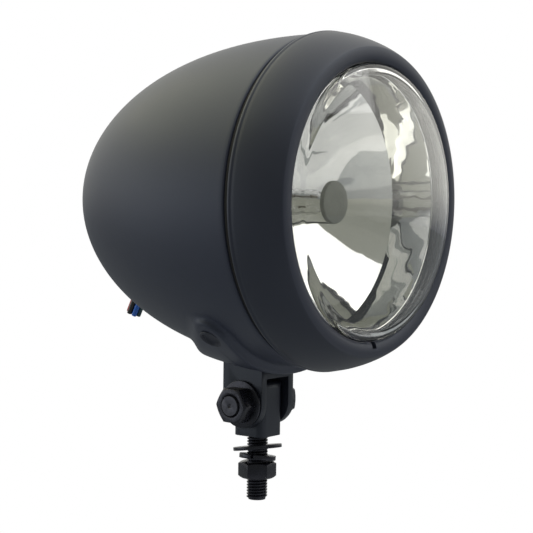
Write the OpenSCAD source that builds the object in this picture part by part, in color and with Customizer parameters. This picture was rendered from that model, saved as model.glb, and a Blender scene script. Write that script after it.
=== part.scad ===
// Round motorcycle headlight with a bullet shell, a clear glass and a bottom bracket.
// Sizes in mm. The lamp faces -Y and Z is up.
// The origin is on the stud's axis at the foot of the mount block.

/* [Lamp place] */
// Distance from the stud's axis forward to the bezel's lip
lamp_fwd = 70; // [60:0.5:80]

/* [Shell] */
// Largest radius of the shell
shell_r_max = 82.1; // [75:0.1:92]
// Place of the largest radius behind the bezel's lip
shell_mid = 30.4; // [28:0.2:34]
// Length from the largest radius to the tail
shell_run = 144.3; // [115:0.5:160]
// Roundness of the profile along the shell
shell_pow_s = 2.19; // [1.8:0.01:2.6]
// Roundness of the profile across the shell
shell_pow_r = 1.93; // [1.7:0.01:2.3]
// Sheet thickness of the shell
sheet = 1.6; // [1:0.1:2.2]
// Front edge of the shell behind the bezel's lip
shell_front = 25.9; // [25.4:0.1:27]
// Width of the shell's inward front flange
flange_w = 6; // [4:0.5:8]

/* [Raised pad] */
// Height of the raised pad over the shell
pad_rise = 5; // [3:0.5:7]
// Distance of each pad lobe from the centre line
pad_lobe_x = 52.5; // [46:0.5:58]
// Place of the pad's lobes behind the lip
pad_lobe_s = 57.5; // [54:0.5:62]
// Radius of a lobe
pad_lobe_r = 9.5; // [8.5:0.5:11]
// Place of the pad's rear tip circle behind the lip
pad_tip_s = 90; // [86:0.5:96]
// Radius of the pad's rear tip
pad_tip_r = 14; // [11:0.5:17]
// Radius of a pad plug
plug_r = 5.4; // [4.5:0.1:6]
// How far a plug's centre is outside its lobe's centre
plug_out = 1.6; // [0:0.1:2.5]

/* [Bezel] */
// How far the front lip's edge is inside the bezel's largest radius
lip_in = 8.9; // [6:0.1:12]
// How far the bezel stands over the shell
bezel_over = 1.3; // [1:0.1:3]
// Length of the bezel's curve
bezel_run = 26.65; // [26.2:0.05:28]
// Rear edge of the bezel behind its lip
bezel_rear = 25; // [24:0.1:25.2]
// Wall of the bezel
bezel_wall = 1.3; // [1:0.1:1.8]
// Width of the bezel's front lip
lip_w = 7.5; // [6:0.1:10]
// Width of the drain notch in the lip
notch_w = 3.4; // [2:0.2:6]

/* [Glass] */
// How far the glass's front edge is inside the bezel's opening
glass_in = 4.6; // [3:0.1:8]
// How far the glass's front edge stands out of the bezel
glass_out = 3.5; // [2:0.1:5]
// Radius of the glass's dome
dome_r = 195; // [150:5:320]
// Thickness of the glass
glass_t = 3.2; // [2.6:0.1:4]
// How far the glass's rim reaches behind the bezel's lip
rim_lap = 3.5; // [2.5:0.1:4]

/* [Reflector] */
// How far the mirror's rim is inside the glass's bore
mirror_in = 0.88; // [0.5:0.02:2]
// Place of the crease between the mirror's straight rim and its bowl behind the lip
crease_s = 31; // [28:0.5:34]
// Place of the bowl's vertex behind the lip
vertex_s = 72; // [68:0.5:78]
// Wall of the reflector
mirror_t = 1.6; // [1.2:0.1:2.4]
// Place of the glue flange's front behind the lip
flange_s = 8; // [7.6:0.1:8.6]

/* [Bulb] */
// Radius of the bulb's glass tube
bulb_r = 6.3; // [5.5:0.1:7]
// Front end of the bulb's glass behind the lip
bulb_front_s = 34; // [30:0.5:38]
// Radius of the shield disc in front of the bulb
shield_r = 10.5; // [9:0.1:12]
// Place of the shield disc behind the lip
shield_s = 23.6; // [22:0.1:25]
// How far the parking lamp is inside the mirror's rim
park_in = 20.7; // [18:0.1:24]
// Turn of the parking lamp's place from the right downward in degrees
park_turn = 141.8; // [130:0.2:150]

/* [Wires] */
// Diameter of one wire
wire_d = 2.7; // [2.2:0.1:2.9]
// Lean of the wires from straight down in degrees
wire_lean = 26; // [20:0.5:32]
// How far the wires' end is in front of the shell's tail
wire_in = 17.7; // [15:0.1:21]
// Drop of the wires' end under the lamp's axis
wire_end_z = 62.5; // [60:0.5:66]
// Bend radius of the wires
wire_bend = 25; // [18:0.5:28]

/* [Bracket] */
// Height of the pivot's axis over the mount block's foot
pivot_h = 17; // [16:0.5:20]
// Half width between the bracket's ears
ear_in = 9.2; // [9.1:0.05:9.4]
// Thickness of an ear
ear_t = 4; // [3:0.25:5]
// Radius of an ear's round foot
ear_r = 12.5; // [12:0.1:14]
// Height of the web's flat underside over the mount block's foot
web_h = 30.2; // [29.8:0.1:31]
// Thickness of the web under the raised pad at its front edge
web_t = 3.3; // [2.5:0.1:6]

/* [Pivot and mount] */
// Half width of the mount block
block_half = 9; // [8.5:0.1:9]
// Depth of the mount block front to rear
block_d = 19.2; // [18:0.2:21]
// Gap between the mount block's top and the bracket's web
block_gap = 2; // [1.5:0.1:3]
// Corner radius of the mount block
block_corner = 4; // [2:0.5:6]
// Radius of the stud
stud_r = 5; // [5:1:5]
// Length of the stud below the block
stud_len = 33.5; // [30:0.5:45]
// Radius of the pivot bolt
bolt_r = 5; // [5:1:5]
// Width across flats of both nuts and the bolt's head
across = 17; // [17:1:17]
// Height of a nut
nut_h = 8; // [8:0.5:8]
// Height of the bolt's head
head_h = 6.4; // [6:0.1:7]
// Outer radius of the flat washers
washer_r = 12; // [11:0.5:13]
// Thickness of the pivot's washers
washer_t = 1.5; // [1:0.1:2]
// Top of the stud's nut under the block's foot
nut_drop = 14; // [13:0.5:20]

/* [Hidden] */
// Clearances between parts that fit each other
run_gap = 0.05;
hole_gap = 0.3;
loose_gap = 0.5;
// Number of sides in round parts
$fn = 64;
// Step count of the turned profiles
steps = 30;
// Height of the lamp's axis over the mount block's foot
lamp_h = web_h + web_t + pad_rise + shell_r(lamp_fwd - ear_r);
// Radii of the bezel and of the glass, each from the piece that carries it
bezel_r_max = shell_r_max + bezel_over;
lip_r = bezel_r_max - lip_in;
sight_r = lip_r - lip_w;
glass_edge_r = sight_r - glass_in;
glass_rim_r = sight_r + rim_lap;
glass_wall_r = glass_edge_r + 4.2;
glass_bore_r = glass_edge_r + 1.2;
// Rim and focal length of the mirrored bowl
r_rim = glass_bore_r - mirror_in;
focus = r_rim * r_rim / (4 * (vertex_s - crease_s));
// Height of the mount block
block_h = web_h - block_gap;
// Lean of a plug's axis from straight down in degrees
plug_s = pad_lobe_s;
plug_lean = asin((pad_lobe_x + plug_out) / (shell_r(plug_s) + pad_rise));
// Bezel's thickness at its rolled rear edge
roll_t = 1.5;
// Inner radius of the shell's front flange
flange_in = shell_r_max - flange_w;
// Gasket between bezel and shell
gasket_r = bezel_r_max - roll_t - 0.3;
gasket_front = bezel_rear - 0.6;
// Bulb socket behind the reflector
socket_r = 20;
socket_s = vertex_s + 4;
socket_end = socket_s + 6;
// Parking lamp's place on the reflector
park_rr = r_rim - park_in;
park_x = park_rr * cos(park_turn);
park_z = park_rr * sin(park_turn);
park_s = vertex_s - park_rr * park_rr / (4 * focus);
park_hole_r = 6.2;
// Lens centre of the dome
dome_c = dome_r - glass_out - (dome_r - sqrt(dome_r * dome_r - glass_edge_r * glass_edge_r));
// Ear and pivot stations along the pivot's axis
ear_out = ear_in + ear_t;
face_x = ear_out + washer_t;
tip_x = face_x + nut_h + 0.8;
// Depth of the stud in the block, and its free length under the nut
stud_deep = 8;
free_len = stud_len - nut_drop - nut_h - 1;
// Wires' end behind the lip, and the bundle
wire_end_s = shell_mid + shell_run - wire_in;
wire_pitch = wire_d + 0.2;
bundle_r = wire_pitch + wire_d / 2 + 0.15;
// Back of the bezel's lip, front of the glass's rim, and the retaining ring's front
lip_s = 3.2;
rim_s = 4;
ring_s = flange_s + 1.8;
ring_in = glass_rim_r - 2;
// Half width and length of the connector, and half sizes of the bulb's wire clip
plug_half = 10;
plug_len = 16;
clip_x = 12.5;
clip_y = 14.5;
// Stations of the two bracket screws, and the station of the bezel's screw
screw_s = [63, 77];
bezel_screw_s = 19;
screw_y = bezel_screw_s - lamp_fwd;
// Top of the backing plate, and its half sizes
plate_top = lamp_h - shell_r(80) - pad_rise + sheet + 4;
plate_x = 11;
plate_y = 13;
// Height, tip, tip's axis and radius of the loose washer, and tip of the spring washer the other way
washer_z = 7.6;
tip_a = 9.9;
tip_axis = [-0.94, 0.33, 0];
loose_r = 12.5;
spring_a = 8;
// Part to show: all or one name from the list above

// Profile of the shell's outside
function shell_r(s) =
    shell_r_max * pow(max(0, 1 - pow(abs(s - shell_mid) / shell_run, shell_pow_s)), 1 / shell_pow_r);

// Profile of the bezel's outside
function bezel_r(s) = lip_r + (bezel_r_max - lip_r) * pow(1 - pow(1 - s / bezel_run, 1.63), 1 / 1.14);

// Depth of the reflector at a radius
function mirror_s(r) = vertex_s - r * r / (4 * focus);

// Front of the glass at a radius
function dome_s(r) = dome_c - sqrt(dome_r * dome_r - r * r);

// Stations along the shell, closer together near the tail
function station(i) = shell_front + (shell_mid + shell_run - shell_front) * (1 - pow(1 - i / steps, 1.7));

// Frame of the lamp: local z runs backward and local y down
module lamp_frame() {
    translate([0, -lamp_fwd, lamp_h])
        rotate([-90, 0, 0])
            children();
}

// A body turned round the lamp's axis from points of radius and depth
module turned(points) {
    lamp_frame()
        rotate_extrude()
            polygon(points);
}

// A ring round the lamp's axis
module lamp_ring(r_in, r_out, s0, s1) {
    turned([[r_in, s0], [r_out, s0], [r_out, s1], [r_in, s1]]);
}

// A solid of the shell's form, grown by g
module shell_form(g) {
    outer = [for (i = [0 : steps - 1]) [shell_r(station(i)) + g, station(i)]];
    turned(concat([[0, shell_front]], outer, [[0, shell_mid + shell_run + g]]), $fn = 96);
}

// Outline of the raised pad seen from below, shrunk by g
module pad_outline(g) {
    lean = atan2(pad_tip_s - pad_lobe_s, pad_lobe_x);
    turn = asin((pad_lobe_r - pad_tip_r) / sqrt(pow(pad_tip_s - pad_lobe_s, 2) + pad_lobe_x * pad_lobe_x));
    a1 = 90 - lean - turn;
    lobe = pad_lobe_r - g;
    end = pad_tip_r - g;
    right = [for (i = [0 : 12]) let (a = -90 + (90 + a1) * i / 12)
        [pad_lobe_x + lobe * cos(a), pad_lobe_s + lobe * sin(a)]];
    tip = [for (i = [0 : 12]) let (a = a1 + (180 - 2 * a1) * i / 12)
        [end * cos(a), pad_tip_s + end * sin(a)]];
    left = [for (i = [0 : 12]) let (a = 180 - a1 + (90 + a1) * i / 12)
        [-pad_lobe_x + lobe * cos(a), pad_lobe_s + lobe * sin(a)]];
    polygon(concat(right, tip, left));
}

// The pad's outline run down from the lamp's axis
module pad_column(g) {
    translate([0, -lamp_fwd, 0])
        linear_extrude(lamp_h)
            pad_outline(g);
}

// Place of a pad plug, its axis pointing out of the shell
module at_plug(side) {
    translate([0, plug_s - lamp_fwd, lamp_h])
        rotate([0, side * plug_lean, 0])
            rotate([180, 0, 0])
                children();
}

// Round rods from point to point; round balls at the joints, or a small overlap of the rods
module run(points, r, balls) {
    last = len(points) - 2;
    for (i = [0 : last]) {
        d = points[i + 1] - points[i];
        before = balls || i == 0 ? 0 : r / 3;
        after = balls || i == last ? 0 : r / 3;
        translate(points[i])
            rotate([0, acos(d[2] / norm(d)), atan2(d[1], d[0])])
                translate([0, 0, -before])
                    cylinder(h = norm(d) + before + after, r = r, $fn = 24);
    }
    if (balls)
        for (i = [1 : last])
            translate(points[i])
                sphere(r = r + 0.08, $fn = 24);
}

// A hexagon nut or head along z, rounded at both ends or one
module hexagon(h, both) {
    r = across / 2 / cos(30);
    cut = (r - across / 2) * tan(30) + 0.15;
    low = both ? across / 2 - 0.2 : r + 0.1;
    intersection() {
        cylinder(h = h, r = r, $fn = 6);
        rotate_extrude()
            polygon([[0, 0], [low, 0], [r + 0.1, cut], [r + 0.1, h - cut], [across / 2 - 0.2, h], [0, h]]);
    }
}

// Pressed bullet shell with its raised pad
module shell() {
    color("#23252b")
        difference() {
            union() {
                difference() {
                    shell_form(0);
                    shell_form_inner(sheet);
                }
                intersection() {
                    difference() {
                        shell_form(pad_rise);
                        shell_form(-sheet / 2);
                    }
                    pad_column(0);
                }
                lamp_ring(flange_in, shell_r_max - sheet / 2, shell_front, shell_front + sheet);
            }
            intersection() {
                difference() {
                    shell_form(pad_rise - sheet);
                    shell_form(-sheet - 1);
                }
                pad_column(sheet);
            }
            for (side = [-1, 1])
                at_plug(side)
                    translate([0, 0, shell_r_max - 12])
                        cylinder(h = 30, r = plug_r);
            for (s = screw_s)
                translate([0, s - lamp_fwd, 0])
                    cylinder(h = lamp_h, r = 2.5 + hole_gap);
            wire_line()
                cylinder(h = 60, r = bundle_r + 2);
        }
}

// Inside of the shell, open at the front
module shell_form_inner(t) {
    inner = [for (i = [0 : steps - 1]) [max(shell_r(station(i)) - t * 1.02, 0.5), station(i)]];
    turned(concat([[0, shell_front - 1], [inner[0][0], shell_front - 1]], inner, [[0, shell_mid + shell_run - t * 1.4]]));
}

// Line of the wires' straight end, starting inside the shell
module wire_line() {
    translate([0, wire_end_s - lamp_fwd, lamp_h - wire_end_z])
        rotate([180 + wire_lean, 0, 0])
            translate([0, 0, -40])
                children();
}

// Soft plugs in the pad's two round holes
module pad_plugs() {
    color("#1b1c20")
        for (side = [-1, 1])
            at_plug(side) {
                top = shell_r(plug_s) + pad_rise;
                translate([0, 0, top - sheet - 2.1])
                    cylinder(h = 1.2, r = plug_r + 1);
                translate([0, 0, top - sheet - 2.1])
                    cylinder(h = sheet + 1.3, r = plug_r);
            }
}

// Deep bezel with a rolled front lip
module bezel() {
    outer = [for (i = [0 : 16]) let (s = bezel_rear * pow(i / 16, 1.5)) [bezel_r(s), s]];
    inner = [for (i = [16 : -1 : 3]) let (s = bezel_rear * pow(i / 16, 1.5)) [bezel_r(s) - bezel_wall * 1.15, s]];
    lip = [
        [lip_r - 3, lip_s], [sight_r + 0.8, lip_s], [sight_r, 2.6], [sight_r, 0.8],
        [sight_r + 1.4, -0.2], [sight_r + 3.6, -0.7], [lip_r - 1.8, -0.6]
    ];
    color("#1d1e24")
        difference() {
            union() {
                turned(concat(outer, inner, lip));
                lamp_ring(bezel_r_max - roll_t, bezel_r(bezel_rear - 1.4), bezel_rear - 1.6, bezel_rear);
            }
            lamp_frame()
                translate([-notch_w / 2, sight_r - 1, -2])
                    cube([notch_w, 4.4, 8]);
            bezel_screw_hole(2.1);
            translate([0, screw_y, lamp_h - bezel_r(bezel_screw_s) + 0.7]) {
                cylinder(h = 0.8, r1 = 2.9, r2 = 2.1);
                translate([0, 0, -3])
                    cylinder(h = 3, r = 2.9);
            }
        }
}

// Hole for the bezel's screw at the bottom
module bezel_screw_hole(r) {
    translate([0, screw_y, 0])
        cylinder(h = lamp_h, r = r);
}

// Rubber ring between the bezel and the shell
module bezel_gasket() {
    color("#101114")
        lamp_ring(flange_in, gasket_r, gasket_front, shell_front);
}

// Screw through the bezel's lower edge into the retaining ring
module bezel_screw() {
    z0 = lamp_h - bezel_r(bezel_screw_s) + 0.7;
    color("#2a2b30")
        translate([0, screw_y, z0]) {
            cylinder(h = 8, r = 1.9);
            difference() {
                cylinder(h = 0.8, r1 = 2.9, r2 = 2.1);
                translate([-4, -0.4, -0.1])
                    cube([8, 0.8, 0.5]);
            }
        }
}

// Ring that holds the lamp unit behind the bezel
module retaining_ring() {
    r_out = gasket_r - 2;
    color("#7d8085")
        difference() {
            union() {
                turned([
                    [ring_in, ring_s], [ring_in + 4.5, ring_s], [r_out, ring_s + 5.2], [r_out, gasket_front],
                    [flange_in + 1, gasket_front], [flange_in + 1, gasket_front - sheet],
                    [r_out - sheet, gasket_front - sheet], [r_out - sheet, ring_s + 5.8],
                    [ring_in + 3.9, ring_s + 1.4], [ring_in, ring_s + 1.4]
                ]);
                translate([0, screw_y, lamp_h - r_out])
                    cylinder(h = 5, r = 4);
            }
            bezel_screw_hole(1.9);
        }
}

// Spring clips between the retaining ring and the bezel
module unit_clips() {
    color("#9a9c9f")
        for (a = [45 : 90 : 315])
            lamp_frame()
                rotate([0, 0, a])
                    translate([-5, glass_rim_r + 0.1, lip_s])
                        cube([10, 0.9, ring_s - lip_s]);
}

// Rubber seal in front of the glass's rim
module lens_seal() {
    color("#17181b")
        lamp_ring(sight_r + 1, glass_rim_r, lip_s, rim_s);
}

// Clear domed glass with a stepped side wall
module lens() {
    front = [for (i = [0 : 10]) let (r = glass_edge_r * i / 10) [r, dome_s(r)]];
    wall = [
        [glass_edge_r + 1.4, -glass_out + 0.5], [glass_wall_r - 0.3, -1.2], [glass_wall_r, 0],
        [glass_wall_r, rim_s], [glass_rim_r, rim_s], [glass_rim_r, flange_s]
    ];
    back = [for (i = [10 : -1 : 0]) let (r = (glass_edge_r - 1) * i / 10) [r, dome_s(r) + glass_t]];
    color("#dfe8e6", 0.35)
        turned(concat(front, wall, [[glass_bore_r, flange_s], [glass_bore_r, 1.2], [glass_bore_r - 0.8, -0.1]], back));
}

// Mirrored bowl with its straight rim, glue flange and bulb seat
module reflector() {
    n = 14;
    bowl = [for (i = [0 : n]) let (r = r_rim - (r_rim - 12) * i / n) [r, mirror_s(r)]];
    outside = [for (i = [n : -1 : 0]) let (r = r_rim - (r_rim - 13) * i / n) [r + mirror_t * 0.8, mirror_s(r) + mirror_t]];
    color("#c9ccce")
        difference() {
            union() {
                turned(concat(
                    [[glass_rim_r, flange_s], [r_rim, flange_s]],
                    bowl,
                    [[12, socket_end], [socket_r, socket_end], [socket_r, socket_s - 6]],
                    [for (p = outside) if (p[0] > socket_r) p],
                    [[r_rim + mirror_t, crease_s], [r_rim + mirror_t, flange_s + 1.8], [glass_rim_r, flange_s + 1.8]]
                ));
                park_frame()
                    translate([0, 0, park_s - 2])
                        cylinder(h = 12, r = park_hole_r + mirror_t);
            }
            park_frame()
                translate([0, 0, park_s - 12])
                    cylinder(h = 40, r = park_hole_r);
            bowl_space();
        }
}

// Space in front of the mirror
module bowl_space() {
    n = 14;
    bowl = [for (i = [0 : n]) let (r = r_rim - (r_rim - 12) * i / n) [r, mirror_s(r)]];
    turned(concat([[0, flange_s], [r_rim, flange_s]], bowl, [[0, mirror_s(12)]]));
}

// Frame on the parking lamp's axis
module park_frame() {
    lamp_frame()
        translate([park_x, park_z, 0])
            children();
}

// Dark cap in front of the bulb on its arm
module bulb_shield() {
    color("#3a3d3c")
        lamp_frame() {
            translate([0, 0, shield_s])
                cylinder(h = 1, r = shield_r);
            translate([-1.5, shield_r - 1.2, shield_s])
                cube([3, 1, mirror_s(12) + 0.4 - shield_s]);
            difference() {
                translate([0, 0, mirror_s(12) - 0.6])
                    cylinder(h = 1, r = 12);
                translate([0, 0, mirror_s(12) - 1])
                    cylinder(h = 3, r = bulb_r + 0.3);
            }
        }
}

// Hollow bulb glass with a round tip
module bulb_glass() {
    color("#e8eeee", 0.35)
        turned([
            [0, bulb_front_s - 3.4], [bulb_r * 0.42, bulb_front_s - 2.8], [bulb_r * 0.76, bulb_front_s - 1],
            [bulb_r * 0.95, bulb_front_s + 1.8], [bulb_r, bulb_front_s + 5], [bulb_r, socket_s - 2],
            [bulb_r - 0.9, socket_s - 2], [bulb_r - 0.9, bulb_front_s + 5.2],
            [bulb_r * 0.95 - 0.9, bulb_front_s + 2.3], [bulb_r * 0.76 - 0.7, bulb_front_s - 0.2],
            [bulb_r * 0.42 - 0.4, bulb_front_s - 1.8], [0, bulb_front_s - 2.4]
        ]);
}

// Two filaments on their supports
module filaments() {
    color("#8a8274")
        lamp_frame() {
            for (k = [[-2.6, bulb_front_s + 3], [2.6, bulb_front_s + 9]]) {
                translate([-2.5, k[0], k[1]])
                    rotate([0, 90, 0])
                        cylinder(h = 5, r = 0.7, $fn = 16);
                for (x = [-2.4, 2.4])
                    translate([x, k[0], k[1]])
                        cylinder(h = socket_s - 2 - k[1], r = 0.4, $fn = 16);
            }
        }
}

// Metal base of the bulb with its three-lug flange
module bulb_base() {
    color("#b9bab8")
        lamp_frame() {
            translate([0, 0, socket_s - 2])
                cylinder(h = socket_end + 1 - socket_s + 2, r = 11.6);
            translate([0, 0, socket_end])
                cylinder(h = 1, r = 18);
            for (a = [90 : 120 : 330])
                rotate([0, 0, a])
                    translate([0, -4, socket_end])
                        cube([19.6, 8, 1]);
            translate([0, 0, socket_end + 1])
                cylinder(h = 8, r = 9);
        }
}

// Wire clip that holds the bulb on its seat
module bulb_clip() {
    color("#b0b2b3")
        lamp_frame() {
            for (side = [-1, 1]) {
                translate([side * clip_x, -clip_y, socket_end + 1.7])
                    rotate([-90, 0, 0])
                        cylinder(h = 2 * clip_y, r = 0.7, $fn = 24);
                translate([side * clip_x, -clip_y, socket_end + 1.7])
                    sphere(r = 0.7, $fn = 24);
                translate([side * clip_x, clip_y, socket_end + 1.7])
                    sphere(r = 0.7, $fn = 24);
            }
            translate([-clip_x, -clip_y, socket_end + 1.7])
                rotate([0, 90, 0])
                    cylinder(h = 2 * clip_x, r = 0.7, $fn = 24);
        }
}

// Rubber boot round the bulb's base
module bulb_boot() {
    e = socket_end;
    color("#1a1b1d")
        turned([
            [socket_r, e - 5], [socket_r + 3, e - 5], [socket_r + 3.4, e + 1], [socket_r + 2.4, e + 6],
            [16, e + 9], [15, e + 15], [12.4, e + 16], [12.4, e + 14], [13.4, e + 8],
            [socket_r + 0.6, e + 4], [socket_r + 1.2, e + 0.4], [socket_r, e]
        ]);
}

// Three-pole connector block on the bulb's terminals
module connector() {
    e = socket_end + 9;
    color("#24262a")
        difference() {
            lamp_frame()
                translate([-plug_half, -7, e])
                    cube([2 * plug_half, 14, plug_len]);
            terminal_space(0);
        }
}

// Room for the three blades
module terminal_space(g) {
    lamp_frame()
        for (k = [[0, -6, 0], [-8, 3, 90], [8, 3, 90]])
            translate([k[0], k[1], socket_end + 9])
                rotate([0, 0, k[2]])
                    translate([-3.2 - g, -0.4 - g, 0])
                        cube([6.4 + 2 * g, 0.8 + 2 * g, 9]);
}

// Three contact blades
module terminals() {
    color("#a8884a")
        terminal_space(0);
}

// Small parking bulb with its base
module parking_bulb() {
    color("#e8eeee", 0.35)
        park_frame() {
            translate([0, 0, park_s + 1])
                cylinder(h = 12, r = 3.9);
            translate([0, 0, park_s + 1])
                sphere(r = 3.9);
        }
}

// Rubber holder of the parking bulb
module parking_holder() {
    color("#2c2c2a")
        park_frame()
            difference() {
                union() {
                    translate([0, 0, park_s + 7])
                        cylinder(h = 13, r = park_hole_r);
                    translate([0, 0, park_s + 10])
                        cylinder(h = 3, r = park_hole_r + 2.4);
                }
                translate([0, 0, park_s + 6])
                    cylinder(h = 7, r = 3.9);
            }
}

// Two leads from the parking lamp to the connector's side
module parking_leads() {
    z1 = park_s + 20;
    z2 = socket_end + 6 + plug_len;
    side = park_x < 0 ? -1 : 1;
    color("#2a2c2e")
        lamp_frame()
            for (k = [-1, 1])
                run([
                    [park_x, park_z + 2.2 * k, z1], [park_x, park_z + 2.2 * k, z1 + 14],
                    [side * (plug_half + 2), 2.2 * k, z2], [side * plug_half, 2.2 * k, z2]
                ], 0.9, true);
}

// Rubber grommet where the wires leave the shell
module wire_grommet() {
    color("#151617")
        difference() {
            union() {
                wire_line()
                    cylinder(h = 30, r = bundle_r + 2);
                intersection() {
                    difference() {
                        shell_form(1.4);
                        shell_form(0);
                    }
                    wire_line()
                        cylinder(h = 60, r = bundle_r + 4.5);
                }
            }
            difference() {
                wire_line()
                    translate([0, 0, -30])
                        cylinder(h = 120, r = bundle_r + 10);
                shell_form(1.4);
            }
            shell_form_deep(sheet + 1.6);
            bundle_space();
        }
}

// The shell's inside, deeper by t, used as a cutter
module shell_form_deep(t) {
    inner = [for (i = [0 : steps - 1]) [max(shell_r(station(i)) - t * 1.02, 0.4), station(i)]];
    turned(concat([[0, shell_front]], inner, [[0, shell_mid + shell_run - t * 1.4]]));
}

// Room for the whole bundle
module bundle_space() {
    wire_line()
        translate([0, 0, -30])
            cylinder(h = 100, r = bundle_r);
}

// One wire from the connector through the grommet; a is its place across, b its place sideways
module wire(a, b) {
    turn = 90 - wire_lean;
    start = socket_end + 9 + plug_len;
    bend_s = wire_end_s - wire_end_z * tan(wire_lean) - wire_bend * tan(turn / 2);
    end = [b, wire_end_z + a * sin(wire_lean), wire_end_s - a * cos(wire_lean)];
    arc = [for (t = [0 : turn / 3 : turn])
        [b, wire_bend - (wire_bend - a) * cos(t), bend_s + (wire_bend - a) * sin(t)]];
    lamp_frame()
        run(concat([[b, a, start]], arc, [end]), wire_d / 2, false);
}

// Place of wire n in the bundle, 0 in the middle
function wire_a(n) = n == 0 ? 0 : wire_pitch * sin(60 * n + 11);
function wire_b(n) = n == 0 ? 0 : wire_pitch * cos(60 * n + 11);

// Red wire
module wire_red() {
    color("#8c1a22")
        wire(wire_a(4), wire_b(4));
}

// White wire
module wire_white() {
    color("#b7b8b0")
        wire(wire_a(5), wire_b(5));
}

// Blue wire
module wire_blue() {
    color("#1d4f9e")
        wire(wire_a(2), wire_b(2));
}

// Dark green-blue wire
module wire_dark() {
    color("#123238")
        wire(wire_a(1), wire_b(1));
}

// Three black wires
module wires_black() {
    color("#101114")
        for (n = [0, 3, 6])
            wire(wire_a(n), wire_b(n));
}

// Bracket of a web and two round-footed ears
module clevis_bracket() {
    color("#1c1d21")
        difference() {
            union() {
                for (side = [-1, 1])
                    translate([side * (ear_in + ear_t / 2) - ear_t / 2, 0, pivot_h])
                        rotate([0, 90, 0])
                            cylinder(h = ear_t, r = ear_r);
                for (side = [-1, 1])
                    translate([side * (ear_in + ear_t / 2) - ear_t / 2, -ear_r, pivot_h])
                        cube([ear_t, 2 * ear_r, 30]);
                translate([-ear_out, -ear_r, web_h])
                    cube([2 * ear_out, 2 * ear_r, 12]);
            }
            shell_form(pad_rise);
            translate([-40, 0, pivot_h])
                rotate([0, 90, 0])
                    cylinder(h = 80, r = bolt_r + 0.1);
            for (s = screw_s)
                translate([0, s - lamp_fwd, web_h]) {
                    cylinder(h = 20, r = 2.5 + hole_gap);
                    cylinder(h = 2.4, r1 = 4.5, r2 = 2.5);
                }
        }
}

// Two flat-headed screws up through the web
module bracket_screws() {
    color("#2b2c30")
        for (s = screw_s)
            translate([0, s - lamp_fwd, web_h]) {
                cylinder(h = plate_top - web_h + 5.5, r = 2.5);
                cylinder(h = 2.4, r1 = 4.5, r2 = 2.5);
            }
}

// Nuts of the bracket's screws inside the shell
module bracket_nuts() {
    color("#8d8f92")
        for (s = screw_s)
            translate([0, s - lamp_fwd, plate_top])
                difference() {
                    cylinder(h = 4, r = 4 / cos(30), $fn = 6);
                    translate([0, 0, -1])
                        cylinder(h = 6, r = 2.5);
                }
}

// Plate inside the raised pad
module backing_plate() {
    color("#6f7276")
        difference() {
            intersection() {
                translate([-plate_x, -plate_y, web_h])
                    cube([2 * plate_x, 2 * plate_y, plate_top - web_h]);
                shell_form(pad_rise - sheet);
            }
            for (s = screw_s)
                translate([0, s - lamp_fwd, 0])
                    cylinder(h = lamp_h, r = 2.5 + hole_gap);
        }
}

// Bolt through both ears and the mount block
module pivot_bolt() {
    color("#26272c")
        difference() {
            translate([-tip_x, 0, pivot_h])
                rotate([0, 90, 0]) {
                    cylinder(h = tip_x + face_x, r = bolt_r);
                    translate([0, 0, tip_x + face_x])
                        hexagon(head_h, false);
                }
            translate([-tip_x - 1, 0, pivot_h])
                rotate([0, 90, 0])
                    cylinder(h = 1.8, r1 = 2.2, r2 = 0.4);
        }
}

// Nut on the bolt's left end
module pivot_nut() {
    color("#222328")
        translate([-face_x, 0, pivot_h])
            rotate([0, -90, 0])
                difference() {
                    rotate([0, 0, 30])
                        hexagon(nut_h, false);
                    translate([0, 0, -1])
                        cylinder(h = nut_h + 2, r = bolt_r);
                    translate([0, 0, nut_h - 0.9])
                        cylinder(h = 1, r1 = bolt_r, r2 = bolt_r + 1.1);
                }
}

// Washers under the nut and the bolt's head
module pivot_washers() {
    color("#26272b")
        for (side = [-1, 1])
            translate([side * (ear_out + washer_t / 2) - washer_t / 2, 0, pivot_h])
                rotate([0, 90, 0])
                    difference() {
                        cylinder(h = washer_t, r = washer_r);
                        translate([0, 0, -1])
                            cylinder(h = washer_t + 2, r = bolt_r + 0.2);
                    }
}

// Block with round corners on the stud, crossed by the pivot
module mount_block() {
    c = block_corner;
    color("#1e1f24")
        difference() {
            intersection() {
                union() {
                    translate([-block_half + c, -block_d / 2, 0])
                        cube([2 * (block_half - c), block_d, block_h]);
                    translate([-block_half, -block_d / 2 + c, 0])
                        cube([2 * block_half, block_d - 2 * c, block_h]);
                    for (sx = [-1, 1])
                        for (sy = [-1, 1])
                            translate([sx * (block_half - c), sy * (block_d / 2 - c), 0])
                                cylinder(h = block_h, r = c);
                }
                union() {
                    translate([-20, -20, -1])
                        cube([40, 40, block_h - 3]);
                    translate([-20, -block_d / 2 + 4, 0])
                        cube([40, block_d - 8, block_h]);
                    for (sy = [-1, 1])
                        translate([-20, sy * (block_d / 2 - 4), block_h - 4])
                            rotate([0, 90, 0])
                                cylinder(h = 40, r = 4);
                }
            }
            translate([-20, 0, pivot_h])
                rotate([0, 90, 0])
                    cylinder(h = 40, r = bolt_r + run_gap);
            translate([0, 0, -1])
                cylinder(h = stud_deep + 1, r = stud_r);
        }
}

// Threaded stud out of the block's foot, with a small neck under the nut
module stud() {
    color("#26272b")
        translate([0, 0, -stud_len])
            rotate_extrude()
                polygon([
                    [0, 0], [stud_r - 0.9, 0], [stud_r, 1], [stud_r, free_len], [stud_r - 0.5, free_len],
                    [stud_r - 0.5, free_len + 0.8], [stud_r, free_len + 0.8],
                    [stud_r, stud_len + stud_deep], [0, stud_len + stud_deep]
                ]);
}

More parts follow.
